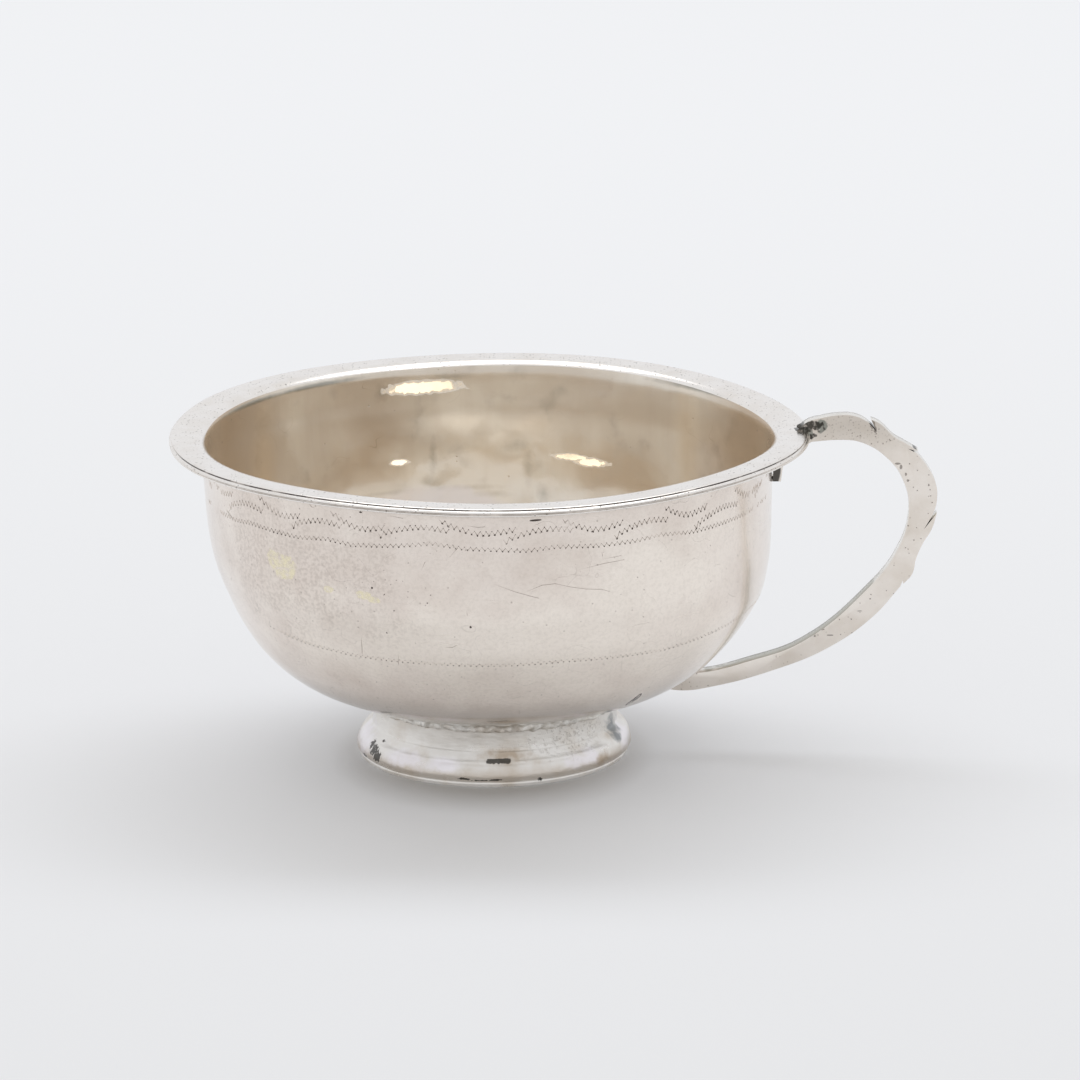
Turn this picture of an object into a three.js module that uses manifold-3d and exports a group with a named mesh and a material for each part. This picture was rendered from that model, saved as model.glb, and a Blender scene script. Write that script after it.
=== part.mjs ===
// A handled dram cup in silver: a raised round bowl with a flat turned-out rim, a hollow spool foot, and one
// strap handle sawn from thick sheet with leaf points along its back. Everything is joined with silver solder.
// Millimetres, +Z up. The cup stands on z = 0 and its handle points along +X.

import * as THREE from 'three';
import { mergeVertices } from 'three/addons/utils/BufferGeometryUtils.js';
import Module from 'manifold-3d';

const wasm = await Module();
wasm.setup();

// Rim
const rimRadius = 46; // to the outside of the rim wire
const rimHeight = 48; // top of the flange above the table
const flangeThickness = 0.9;
const rimWireWidth = 0.9;
const rimWireHeight = 1.1;
const lipRounding = 1.6; // from the flange down into the bowl
const underRounding = 0.7; // from the wall out under the flange

// Bowl
const wallRadius = 40.8; // outside of the upright wall
const bowlWall = 0.9;
const bellyTop = 39; // height where the wall begins to draw in
const bellySquareness = 4.2; // 2 turns under like an ellipse, more is fuller and flatter
const bowlBottom = 8.9; // outside of the bottom above the table

// Foot
const footRadius = 20; // widest, over the half-round band
const footBaseRadius = 19.45;
const footWireHeight = 0.85;
const footWireWidth = 1.6;
const bandHeight = 1.6;
const shoulderHeight = 5; // top of the convex shoulder
const shoulderRadius = 17.6; // where the shoulder meets the neck
const neckRadius = 16.9;
const collarRadius = 17.5; // under the bowl
const collarHeight = 8.2;
const footWall = 1;

// Handle
const handleOverhang = 18.45; // how far the handle stands out past the rim
const strapTop = 2.1; // thickness of the strap at the rim
const strapTail = 2.8; // thickness of the strap at its lower end
const slotDepth = 1.8; // how far the upper prong reaches over the flange
const spurDrop = 8.2; // from the top of the flange to the point of the spur
const tailGap = 4.5; // from the collar of the foot out to the tip of the tail

// Solder
const footSeamWidth = 1.4;
const footSeamHeight = 1.2;
const rimSeam = 0.9; // solder beside the upper prong
const tailSeam = 1.1;

const seam = 0.3; // clearance between neighbouring pieces
const tailSeat = collarRadius + tailGap; // radius where the tail meets the bowl
const turnSteps = 72; // facets round every turned piece

const silver = new THREE.MeshStandardMaterial({ color: 0xd9d1ca, roughness: 0.36, metalness: 1 });
const handleSilver = new THREE.MeshStandardMaterial({ color: 0xcdc3b8, roughness: 0.42, metalness: 1 });
const solderSilver = new THREE.MeshStandardMaterial({ color: 0xa9a39c, roughness: 0.5, metalness: 1 });

const vec = (x, y) => new THREE.Vector2(x, y);

// Outer line of the bowl, from the axis out and up: flat bottom, full belly, upright wall.
class BowlLine extends THREE.Curve {
  getPoint(t) {
    const angle = (Math.PI / 2) * (1 - t);
    const radius = t === 0 ? 0 : wallRadius * Math.cos(angle) ** (2 / bellySquareness);
    return vec(radius, bellyTop - (bellyTop - bowlBottom) * Math.sin(angle));
  }
}
const bowlLine = new BowlLine();
const lineSteps = 14;

// The bowl's line moved square to itself, in towards the drink or out from the metal.
function bowlOffset(distance) {
  const points = [];
  for (let i = 0; i <= lineSteps; i += 1) {
    const at = bowlLine.getPoint(i / lineSteps);
    const along = bowlLine.getTangent(i / lineSteps);
    points.push(vec(at.x - along.y * distance, at.y + along.x * distance));
  }
  points[0].x = 0;
  return points;
}

// Height of the bowl's underside at a radius, with a clearance below it.
function undersideAt(radius, clearance) {
  const line = bowlOffset(-clearance);
  const i = line.findIndex((p) => p.x >= radius);
  const part = (radius - line[i - 1].x) / (line[i].x - line[i - 1].x);
  return THREE.MathUtils.lerp(line[i - 1].y, line[i].y, part);
}

// Points of a quarter round from one line to the other.
function quarter(centreX, centreY, radius, from, steps) {
  const points = [];
  for (let i = 0; i <= steps; i += 1) {
    const angle = from - (Math.PI / 2) * (i / steps);
    points.push(vec(centreX + radius * Math.cos(angle), centreY + radius * Math.sin(angle)));
  }
  return points;
}

// Shared corners are merged and the slivers on the axis dropped, so the surface closes.
function weld(geometry) {
  geometry.deleteAttribute('normal');
  geometry.deleteAttribute('uv');
  const welded = mergeVertices(geometry);
  const index = welded.index.array;
  const kept = [];
  for (let i = 0; i < index.length; i += 3) {
    const [a, b, c] = [index[i], index[i + 1], index[i + 2]];
    if (a !== b && b !== c && c !== a) {
      kept.push(a, b, c);
    }
  }
  welded.setIndex(kept);
  return welded;
}

// A profile of radius and height, turned about +Z.
function turned(profile) {
  const geometry = new THREE.LatheGeometry(profile, turnSteps);
  geometry.rotateX(Math.PI / 2);
  return weld(geometry);
}

function toManifold(geometry) {
  const vertProperties = new Float32Array(geometry.attributes.position.array);
  const triVerts = new Uint32Array(geometry.index.array);
  return new wasm.Manifold(new wasm.Mesh({ numProp: 3, vertProperties, triVerts }));
}

function fromManifold(solid) {
  const mesh = solid.getMesh();
  const geometry = new THREE.BufferGeometry();
  geometry.setAttribute('position', new THREE.BufferAttribute(mesh.vertProperties, 3));
  geometry.setIndex(new THREE.BufferAttribute(mesh.triVerts, 1));
  return geometry;
}

function cut(geometry, ...cutters) {
  return fromManifold(cutters.reduce((left, cutter) => left.subtract(cutter), toManifold(geometry)));
}

// Bowl with its flange
function makeBowl() {
  const flangeEdge = rimRadius - rimWireWidth - seam;
  const wallTop = rimHeight - flangeThickness - underRounding;
  const lipX = wallRadius - bowlWall + lipRounding;
  return turned([
    ...bowlOffset(0),
    ...quarter(wallRadius + underRounding, wallTop, underRounding, Math.PI, 4),
    vec(flangeEdge, rimHeight - flangeThickness),
    vec(flangeEdge, rimHeight),
    ...quarter(lipX, rimHeight - lipRounding, lipRounding, Math.PI, 5).reverse(),
    ...bowlOffset(bowlWall).reverse(),
  ]);
}

// Half-round wire round the flange
function makeRimWire() {
  const inner = rimRadius - rimWireWidth;
  const path = new THREE.Path();
  path.moveTo(inner, rimHeight - rimWireHeight);
  path.bezierCurveTo(
    inner + rimWireWidth * 1.33,
    rimHeight - rimWireHeight,
    inner + rimWireWidth * 1.33,
    rimHeight,
    inner,
    rimHeight,
  );
  path.closePath();
  return turned(path.getPoints(7));
}

// Spool foot: half-round band, convex shoulder, hollow neck and a collar that fits the bowl
function makeFoot() {
  const base = footWireHeight + seam;
  const bandTop = base + bandHeight;
  const outer = new THREE.Path();
  outer.moveTo(footBaseRadius, base);
  outer.quadraticCurveTo(2 * footRadius - footBaseRadius, base + bandHeight / 2, footBaseRadius, bandTop);
  outer.quadraticCurveTo(
    footBaseRadius - 0.55,
    shoulderHeight - 0.9,
    shoulderRadius,
    shoulderHeight,
  );
  outer.quadraticCurveTo(
    2 * neckRadius - (shoulderRadius + collarRadius) / 2,
    (shoulderHeight + collarHeight) / 2,
    collarRadius,
    collarHeight,
  );
  outer.lineTo(collarRadius, undersideAt(collarRadius, seam));
  const outside = outer.getPoints(4);
  const inside = outside.filter((p, i) => i % 2 === 1).map((p) => vec(p.x - footWall, p.y)).reverse();
  inside[0].y = undersideAt(collarRadius - footWall, seam);
  inside.push(vec(footBaseRadius - footWall, base));
  return turned([...outside, ...inside, outside[0]]);
}

// Flat wire under the foot, which the cup stands on
function makeFootWire() {
  const inner = footBaseRadius - footWireWidth;
  const edge = footWireHeight / 4;
  return turned([
    vec(inner, 0),
    vec(footBaseRadius - edge, 0),
    vec(footBaseRadius, edge),
    vec(footBaseRadius, footWireHeight),
    vec(inner, footWireHeight),
    vec(inner, 0),
  ]);
}

// Fillet of solder round the collar, under the bowl
function makeFootSolder() {
  const inner = collarRadius + seam;
  const outer = inner + footSeamWidth;
  const top = undersideAt(inner, seam);
  const path = new THREE.Path();
  path.moveTo(inner, top - footSeamHeight);
  path.quadraticCurveTo(inner + footSeamWidth / 5, top - footSeamHeight / 4, outer, undersideAt(outer, seam));
  path.lineTo(inner, top);
  path.closePath();
  return turned(path.getPoints(4));
}

// Everything that the handle and its solder have to stay clear of: bowl, flange and rim wire as one turned body
function makeSeat() {
  const edge = rimRadius + seam;
  const under = rimHeight - Math.max(flangeThickness, rimWireHeight) - seam;
  return toManifold(turned([
    ...bowlOffset(-seam),
    vec(wallRadius + seam, under - underRounding),
    vec(wallRadius + seam + underRounding, under),
    vec(edge, under),
    vec(edge, rimHeight + seam),
    vec(0, rimHeight + seam),
  ]));
}

// Side view of the handle as X and Z. Points near the rim are given from the top corner of the rim, the ones on
// the back from the furthest reach of the handle, and the tail from its seat under the bowl.
function makeHandleOutline() {
  const rim = (x, z) => vec(rimRadius + x, rimHeight + z);
  const back = (x, z) => vec(rimRadius + handleOverhang + x, rimHeight + z);
  const tail = (x, z) => vec(tailSeat + x, undersideAt(tailSeat, 0) + z);
  const start = rim(-slotDepth, 0);
  const shape = new THREE.Shape();
  shape.moveTo(start.x, start.y);
  // First leaf, arching up from the flange
  shape.splineThru([rim(-0.3, 1.3), rim(1.7, 1.8), rim(4, 2), rim(6.8, 1.6), rim(8.75, 0.35), rim(9.7, -0.8)]);
  // Second leaf, from its raised point to the spike
  shape.lineTo(rim(8.85, 1.1).x, rim(8.85, 1.1).y);
  shape.splineThru([rim(10.1, 0.5), rim(12.3, -1.6), back(-4.85, -2.35), back(-2.75, -3.65)]);
  shape.lineTo(back(-4.15, -3.35).x, back(-4.15, -3.35).y);
  // Third leaf, round the outermost bend
  shape.lineTo(back(-2.95, -4).x, back(-2.95, -4).y);
  shape.splineThru([back(-1.3, -6.2), back(-0.2, -8.6), back(0, -10.2), back(-0.4, -12.5), back(-1.85, -15.2)]);
  // Fourth leaf, from its upright point down to the small nick
  shape.lineTo(back(-0.05, -12.9).x, back(-0.05, -12.9).y);
  shape.splineThru([back(-0.75, -15.2), back(-2.1, -17.5), back(-3, -19.6), back(-3.6, -22), back(-4.85, -23.4)]);
  shape.lineTo(back(-4.95, -22.9).x, back(-4.95, -22.9).y);
  shape.lineTo(back(-5.3, -23.8).x, back(-5.3, -23.8).y);
  // Outside of the tail, in to its rounded end under the bowl
  shape.splineThru([tail(33.3, 9.8), tail(26.7, 5.1), tail(19, 1.9), tail(9.7, -0.6), tail(5.6, -1.1)]);
  shape.splineThru([tail(2.6, -0.6), tail(0, 0.6)]);
  // Inside of the tail and of the finger loop, back up to the rim
  shape.lineTo(tail(2.6, 1.7).x, tail(2.6, 1.7).y);
  shape.splineThru([
    tail(8.5, 1.6),
    tail(15.2, 3.2),
    tail(22.9, 6),
    back(-10.15, -24.2),
    back(-5.85, -18.6),
    back(-4.1, -13),
    back(-4.85, -8.2),
    back(-7.2, -4.7),
    rim(7.5, -2.3),
    rim(3.9, -1.7),
    rim(0.2, -2.45),
  ]);
  // Spur down the wall, below the flange
  const spurPoint = vec(wallRadius + seam / 2, rimHeight - spurDrop);
  shape.lineTo(wallRadius + seam + 0.75, rimHeight - spurDrop * 0.74);
  shape.lineTo(spurPoint.x, spurPoint.y);
  shape.lineTo(spurPoint.x, rimHeight - flangeThickness);
  shape.closePath();
  return shape;
}

// The strap is sawn from sheet that is thinner at the rim than at the tail, then slotted over the flange.
function makeHandle(seat) {
  const geometry = new THREE.ExtrudeGeometry(makeHandleOutline(), {
    depth: 1,
    bevelEnabled: false,
    curveSegments: 3,
  });
  geometry.translate(0, 0, -0.5);
  geometry.rotateX(Math.PI / 2);
  const position = geometry.attributes.position;
  for (let i = 0; i < position.count; i += 1) {
    position.setY(i, position.getY(i) * strapThickness(position.getZ(i)));
  }
  return cut(weld(geometry), seat);
}

function strapThickness(height) {
  return THREE.MathUtils.mapLinear(height, bowlBottom, rimHeight, strapTail, strapTop);
}

// A pool of solder that runs round the end of the strap, where it meets the bowl. The strap's slab begins at start.
function makePool(centre, radii, tilt, start, seat) {
  const pool = new THREE.SphereGeometry(1, 24, 16);
  pool.scale(radii.x, radii.y, radii.z);
  pool.rotateY(tilt);
  pool.translate(centre.x, 0, centre.y);
  const reach = 8 * Math.max(radii.x, radii.z);
  const slab = new THREE.BoxGeometry(reach, strapThickness(centre.y) + 2 * seam, reach);
  slab.translate(start.x + reach / 2, 0, start.y + reach / 2);
  return cut(weld(pool), seat, toManifold(weld(slab)));
}

const seat = makeSeat();
const poolHalfWidth = (height, width) => strapThickness(height) / 2 + seam + width;
const cup = new THREE.Group();

function addPiece(name, geometry, material) {
  const mesh = new THREE.Mesh(geometry, material);
  mesh.name = name;
  cup.add(mesh);
}

addPiece('bowl', makeBowl(), silver);
addPiece('rim_wire', makeRimWire(), silver);
addPiece('foot', makeFoot(), silver);
addPiece('foot_wire', makeFootWire(), silver);
addPiece('foot_solder', makeFootSolder(), solderSilver);
addPiece('handle', makeHandle(seat), handleSilver);

const rimPool = vec(rimRadius - slotDepth * 0.8, rimHeight + seam);
const rimRadii = new THREE.Vector3(slotDepth * 0.75, poolHalfWidth(rimHeight, rimSeam), 0.8);
const prongEnd = vec(rimRadius - slotDepth - seam, rimHeight - 2);
addPiece('rim_solder', makePool(rimPool, rimRadii, 0, prongEnd, seat), solderSilver);

const tailPool = vec(tailSeat + 1.6, undersideAt(tailSeat + 1.6, seam));
const tailRadii = new THREE.Vector3(3.2, poolHalfWidth(tailPool.y, tailSeam), 0.9);
const tailEnd = vec(tailSeat - seam, tailPool.y - 2);
addPiece('tail_solder', makePool(tailPool, tailRadii, -0.25, tailEnd, seat), solderSilver);

// The origin lies under the middle of the whole cup, handle included.
const box = new THREE.Box3().setFromObject(cup);
cup.position.x = -(box.min.x + box.max.x) / 2;

export default cup;
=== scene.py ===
import math
import random

import bpy
from mathutils import Matrix, Vector


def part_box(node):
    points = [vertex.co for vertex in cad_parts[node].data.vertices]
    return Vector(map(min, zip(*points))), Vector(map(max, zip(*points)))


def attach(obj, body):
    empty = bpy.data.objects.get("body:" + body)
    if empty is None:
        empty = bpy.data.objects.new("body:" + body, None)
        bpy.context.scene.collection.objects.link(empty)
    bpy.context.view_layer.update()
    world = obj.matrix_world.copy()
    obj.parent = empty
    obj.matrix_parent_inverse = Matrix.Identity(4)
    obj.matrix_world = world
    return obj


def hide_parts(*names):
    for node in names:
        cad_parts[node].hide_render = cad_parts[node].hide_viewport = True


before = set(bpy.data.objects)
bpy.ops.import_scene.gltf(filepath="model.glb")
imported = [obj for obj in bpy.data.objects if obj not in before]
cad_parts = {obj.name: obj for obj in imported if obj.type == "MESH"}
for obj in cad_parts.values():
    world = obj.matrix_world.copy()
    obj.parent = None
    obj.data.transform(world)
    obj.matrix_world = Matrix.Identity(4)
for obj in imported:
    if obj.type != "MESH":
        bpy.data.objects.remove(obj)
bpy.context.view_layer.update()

mm = 0.001
rimLow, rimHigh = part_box("rim_wire")
cupX = (rimLow.x + rimHigh.x) / 2  # the cup's own axis, beside the origin because the handle counts too
print("frame loaded, cup axis at x", round(cupX / mm, 2), "mm")


# camera, at the photo's angle
cameraView = {
    "aim": (-2.13, 0, 31.35),  # mm, what the middle of the picture looks at
    "distance": 1000,
    "elevation": 15.04,  # degrees above the table
    "roll": -0.55,
    "lens": 230.6,
}

bpy.ops.object.select_all(action="DESELECT")
bpy.ops.object.camera_add()
camera = bpy.context.object
tilt, roll = math.radians(cameraView["elevation"]), math.radians(cameraView["roll"])
backward = Vector((0, -math.cos(tilt), math.sin(tilt)))
level = Vector((1, 0, 0))
upward = backward.cross(level)
right = level * math.cos(roll) + upward * math.sin(roll)
turnedUp = upward * math.cos(roll) - level * math.sin(roll)
camera.matrix_world = Matrix.LocRotScale(
    Vector(cameraView["aim"]) * mm + backward * cameraView["distance"] * mm,
    Matrix((right, turnedUp, backward)).transposed().to_quaternion(),
    None,
)
camera.data.lens = cameraView["lens"]
camera.data.sensor_width = 36
bpy.context.scene.camera = camera
bpy.context.scene.view_settings.view_transform = "Standard"


def linear(code):
    values = [int(code[i : i + 2], 16) / 255 for i in (1, 3, 5)]
    return [v / 12.92 if v <= 0.04045 else ((v + 0.055) / 1.055) ** 2.4 for v in values] + [1.0]


def addNode(tree, kind, values=None, links=None, **settings):  # a link from a node comes from its first output
    node = tree.nodes.new("ShaderNode" + kind)
    for name, value in settings.items():
        setattr(node, name, value)
    for socket, value in (values or {}).items():
        node.inputs[socket].default_value = value
    for socket, source in (links or {}).items():
        tree.links.new(source.outputs[0] if hasattr(source, "outputs") else source, node.inputs[socket])
    return node


def pickOnly(piece):
    bpy.ops.object.select_all(action="DESELECT")
    piece.select_set(True)
    bpy.context.view_layer.objects.active = piece


def endEdit():
    bpy.ops.object.mode_set(mode="OBJECT")


def pickVerts(piece, wanted=lambda co: True):  # opens edit mode with only the wanted points selected
    pickOnly(piece)
    bpy.ops.object.mode_set(mode="EDIT")
    bpy.ops.mesh.select_mode(type="VERT")
    bpy.ops.mesh.select_all(action="DESELECT")
    endEdit()
    for vert in piece.data.vertices:
        vert.select = wanted(vert.co)
    bpy.ops.object.mode_set(mode="EDIT")


def addShape(kind, **settings):
    bpy.ops.object.select_all(action="DESELECT")
    kind(**settings)
    return bpy.context.object


def remove(piece):
    pickOnly(piece)
    bpy.ops.object.delete()


def applyModifier(piece, kind, **settings):
    pickOnly(piece)
    change = piece.modifiers.new(kind.title(), kind)
    for name, value in settings.items():
        setattr(change, name, value)
    bpy.ops.object.modifier_apply(modifier=change.name)


def copyPiece(piece):
    pickOnly(piece)
    bpy.ops.object.duplicate()
    return bpy.context.object


def joinPieces(pieces, name):
    bpy.ops.object.select_all(action="DESELECT")
    for piece in pieces:
        piece.select_set(True)
    bpy.context.view_layer.objects.active = pieces[0]
    bpy.ops.object.join()
    pieces[0].name = name
    return pieces[0]


def placeInMesh(piece):
    pickOnly(piece)
    bpy.ops.object.transform_apply(location=True, rotation=True, scale=True)


def smoothFaces(piece, degrees):
    pickOnly(piece)
    bpy.ops.object.shade_smooth_by_angle(angle=math.radians(degrees))


def between(table, at):  # straight lines from one (place, value) pair to the next
    for (low, first), (high, second) in zip(table, table[1:]):
        if at <= high:
            return first + (second - first) * max(0.0, (at - low) / (high - low))
    return table[-1][1]


# A line of (radius, height) in mm, drawn up ring by ring round the cup's axis.
# closed joins the last ring to the first; otherwise each end is drawn to a point.
def turnPiece(name, line, around, closed=False):
    radius, height = line[0]
    end = "NOTHING" if closed else "TRIFAN"
    piece = addShape(bpy.ops.mesh.primitive_circle_add, vertices=around, radius=radius * mm, fill_type=end)
    piece.location = (cupX, 0, height * mm)
    piece.name = name
    placeInMesh(piece)
    bpy.ops.object.mode_set(mode="EDIT")
    bpy.ops.mesh.select_mode(type="EDGE")
    bpy.ops.mesh.select_all(action="SELECT")
    if not closed:
        bpy.ops.mesh.region_to_loop()
    for nextRadius, nextHeight in line[1:]:
        bpy.ops.mesh.extrude_edges_move(TRANSFORM_OT_translate={"value": (0, 0, (nextHeight - height) * mm)})
        grow = nextRadius / radius
        bpy.ops.transform.resize(value=(grow, grow, 1), center_override=(cupX, 0, nextHeight * mm))
        radius, height = nextRadius, nextHeight
    if closed:
        bpy.ops.mesh.select_all(action="SELECT")
        bpy.ops.mesh.remove_doubles(threshold=0.00001)
    else:
        bpy.ops.mesh.edge_face_add()
        bpy.ops.mesh.select_mode(type="FACE")
        bpy.ops.mesh.poke()
    bpy.ops.mesh.select_all(action="SELECT")
    bpy.ops.mesh.normals_make_consistent(inside=False)
    endEdit()
    return piece


def paintFaces(piece, count, pick):  # the material of each face, one of count, from its middle and its normal
    for number in range(count):
        piece.data.materials.append(None)
    for face in piece.data.polygons:
        face.material_index = pick(face.center, face.normal)


def roughen(piece, kind, size, depth, group="", **settings):  # an uneven surface, size and depth in mm
    grain = bpy.data.textures.new(piece.name + "_" + kind.lower(), kind)
    grain.noise_scale = size * mm
    for name, value in settings.items():
        setattr(grain, name, value)
    applyModifier(piece, "DISPLACE", texture=grain, strength=depth * mm, mid_level=0.5, vertex_group=group)


# how far the old cup has gone out of true
wear = {
    "rimDip": ((-0.207, 0.081), (-0.247, -0.152), (-0.017, -0.111), (-0.119, -0.185)),  # mm, cos and sin of 1-4 turns
    "rimPull": ((0, 0), (0.148, 0.018), (0.002, 0.003), (0, 0)),
    "lean": (
        (0, 0.1), (4, 0.25), (8, 0.5), (10, 0.7), (13, 0.4), (18, 0.42), (22, 0.6), (25, 0.7), (28, 0.4), (33, 0),
        (36, -0.16), (43, -0.36), (47, 0), (60, 0),
    ),
    "swell": ((8, 0), (12, -0.2), (16, -0.25), (20, -0.1), (25, 0.25), (30, 0.25), (36, 0), (60, 0)),
}


def wave(terms, angle):
    return sum(c * math.cos((n + 1) * angle) + s * math.sin((n + 1) * angle) for n, (c, s) in enumerate(terms))


def wearOut(piece):
    for vert in piece.data.vertices:
        x, y, height = (vert.co.x - cupX) / mm, vert.co.y / mm, vert.co.z / mm
        angle, radius = math.atan2(y, x), math.hypot(x, y)
        share = min(1.0, max(0.0, (height - 30) / 16))
        share = share * share * (3 - 2 * share) * min(1.0, radius / 30)
        radius += share * wave(wear["rimPull"], angle) + between(wear["swell"], height) * min(1.0, radius / 20)
        vert.co.x = cupX + (radius * math.cos(angle) + between(wear["lean"], height)) * mm
        vert.co.y = radius * math.sin(angle) * mm
        vert.co.z += share * wave(wear["rimDip"], angle) * mm
    piece.data.update()


# bowl, raised from one sheet with its flange
bowlSize = {
    "wallRadius": 40.8,
    "wall": 0.9,
    "bellyTop": 39,
    "squareness": 4.2,
    "bottom": 8.9,
    # radius and height, from the top of the belly out under the flange, over it and back down inside
    "lip": (
        (40.8, 41), (40.8, 43), (40.95, 44.6), (41.25, 45.8), (41.75, 46.55), (42.4, 46.95), (43.3, 47.1),
        (44.8, 47.2), (45.6, 47.3), (45.72, 47.55), (45.72, 47.85), (45.6, 48.02), (45.2, 48.06), (44.2, 48.04),
        (43, 48.02), (42.2, 47.98), (41.65, 47.86), (41.2, 47.6), (40.85, 47.25), (40.62, 46.8), (40.5, 46.2),
        (40.42, 45.2), (40.32, 44), (40.15, 42.2), (39.9, 40.6),
    ),
    # height and radius half way through the metal
    "middle": ((39, 40.35), (43, 40.5), (44.8, 40.7), (46, 40.95), (46.9, 41.5), (47.3, 42)),
    "inside": (47.3, 6),  # the height where the inner face begins, and the mm in which its hammer marks come up
    "crease": (45.62, 47.4),  # radius and height from which the faces between the flange and its wire are coloured dark
    "flange": 46.3,
    "around": 128,
    "facet": (11, 0.3),  # mm across one hammer mark inside and its depth
    "ripple": (9, 0.2),
    "outside": (7, 0.1),
}


def bowlLine(inset):  # from the middle of the bottom out and up to the top of the belly, inset into the metal
    s, points = bowlSize, []
    power, drop = s["squareness"], s["bellyTop"] - s["bottom"]
    for i in range(1, 401):
        angle = math.pi / 2 * (1 - i / 400)
        reach = s["wallRadius"] * math.cos(angle) ** (2 / power)
        outward = power * (reach / s["wallRadius"]) ** (power - 1) / s["wallRadius"]
        slope = Vector((outward, -2 * math.sin(angle) / drop))
        place = Vector((reach, s["bellyTop"] - drop * math.sin(angle))) - slope.normalized() * inset
        points.append(tuple(place))
    line = [(0.8, s["bottom"] + inset)]
    for point in points:
        while math.dist(line[-1], point) > 2.4:
            share = 2 / math.dist(line[-1], point)
            line.append(tuple(a + (b - a) * share for a, b in zip(line[-1], point)))
        if math.dist(line[-1], point) >= 1.9:
            line.append(point)
    return line


def depthShare(co):  # 0 on the outside, 1 on the face that the drink touches, fading out at the lip
    s = bowlSize
    radius, height, half = math.hypot(co.x - cupX, co.y) / mm, co.z / mm, s["wall"] / 2
    if height > s["bellyTop"]:
        inner = radius < between(s["middle"], height)
    else:
        down = (s["bellyTop"] - height) / (s["bellyTop"] - s["bottom"] - half)
        inner = (radius / (s["wallRadius"] - half)) ** s["squareness"] + down**2 < 1
    return min(1.0, max(0.0, (s["inside"][0] - height) / s["inside"][1])) if inner else 0.0


def bowlFace(place, normal):  # 0 outside, 1 inside, 2 flange, 3 crease
    if depthShare(place) > 0.015:
        return 1
    radius, height = bowlSize["crease"]
    if math.hypot(place.x - cupX, place.y) > radius * mm and place.z > height * mm and abs(normal.z) < 0.8:
        return 3
    return 2 if place.z > bowlSize["flange"] * mm else 0


def groupVerts(piece, name, share):
    group = piece.vertex_groups.new(name=name)
    for vert in piece.data.vertices:
        if share(vert.co) > 0:
            group.add([vert.index], share(vert.co), "REPLACE")


bowlShape = bowlLine(0) + list(bowlSize["lip"]) + bowlLine(bowlSize["wall"])[::-1]
bowl = turnPiece("bowl_body", bowlShape, bowlSize["around"])
applyModifier(bowl, "SUBSURF", levels=1, render_levels=1)
groupVerts(bowl, "inside", depthShare)
groupVerts(bowl, "outside", lambda co: 1.0 if depthShare(co) == 0 and co.z < 46 * mm else 0.0)
roughen(bowl, "VORONOI", *bowlSize["facet"], "inside", distance_metric="DISTANCE_SQUARED")
roughen(bowl, "CLOUDS", *bowlSize["ripple"], "inside", noise_depth=0)
roughen(bowl, "CLOUDS", *bowlSize["outside"], "outside", noise_depth=1)
paintFaces(bowl, 4, bowlFace)
wearOut(bowl)
smoothFaces(bowl, 50)
print("bowl raised,", len(bowl.data.polygons), "faces")


# the rings of the cup
wireSize = {
    "around": 128,
    "rounding": 2,
    "uneven": (7, 0.07),
    "detail": 0,
    "smooth": 60,
    "seam": (47.25, 47.45),  # painted shade between these heights, on the faces under the bead that face down
    # a round bead over a thinner one, radius and height in mm
    "line": (
        (44.95, 47), (44.95, 47.5), (45.45, 47.74), (45.68, 47.81), (45.84, 47.7), (45.98, 47.55), (46.02, 47.45),
        (45.92, 47.34), (45.72, 47.26), (45.84, 47.18), (45.92, 47.08), (45.88, 46.96), (45.7, 46.88), (45.2, 46.88),
        (44.95, 47),
    ),
}
footSize = {
    "around": 112,
    "rounding": 1,
    "uneven": (6, 0.22),
    "detail": 1,
    "smooth": 60,
    "line": (
        (18.5, 0.6), (19.35, 0.62), (19.7, 0.8), (19.95, 1.2), (20, 1.6), (19.88, 2.1), (19.7, 2.6), (19.48, 3.1),
        (19.2, 3.6), (18.85, 4), (18.4, 4.36), (18.05, 4.62), (17.86, 4.78), (17.78, 4.92), (17.72, 5.3),
        (17.6, 6.1), (17.5, 6.8), (17.42, 7.5), (17.45, 8.3), (17.6, 9.3), (16.6, 9.3), (16.2, 8.4), (16, 7.2),
        (16.1, 6.1), (16.5, 5.1), (17.3, 4.4), (18, 3.6), (18.5, 2.6), (18.65, 1.6), (18.5, 0.6),
    ),
}
footWireSize = {
    "around": 112,
    "rounding": 0,
    "uneven": (6, 0.15),
    "detail": 1,
    "smooth": 60,
    "flat": 0.4,  # mm from the table up to where it is as uneven as the rest
    "line": (
        (17.8, 0), (18.6, 0), (19.3, 0), (19.52, 0.15), (19.6, 0.42), (19.55, 0.7), (19.3, 0.9), (17.8, 0.95),
        (17.7, 0.5), (17.8, 0),
    ),
}
footSeamSize = {
    "around": 160,
    "rounding": 1,
    "uneven": (1.1, 0.75),
    "detail": 2,
    "smooth": 70,
    "line": (
        (17.1, 9.6), (17.2, 7.9), (17.55, 7.55), (18, 7.75), (18.3, 8.2), (18.55, 8.65), (19, 9), (19.6, 9.3),
        (19.2, 9.7), (18, 9.7), (17.1, 9.6),
    ),
}


# pick paints the two finishes of a ring, and share is how much of the unevenness a point gets
def makeRing(name, size, pick=None, share=None):
    piece = turnPiece(name, size["line"], size["around"], closed=True)
    if size["rounding"]:
        applyModifier(piece, "SUBSURF", levels=size["rounding"], render_levels=size["rounding"])
    if pick:
        paintFaces(piece, 2, pick)
    if share:
        groupVerts(piece, "share", share)
    roughen(piece, "CLOUDS", *size["uneven"], "share" if share else "", noise_depth=size["detail"])
    wearOut(piece)
    smoothFaces(piece, size["smooth"])
    print(name, "turned,", len(piece.data.polygons), "faces")
    return piece


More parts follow.
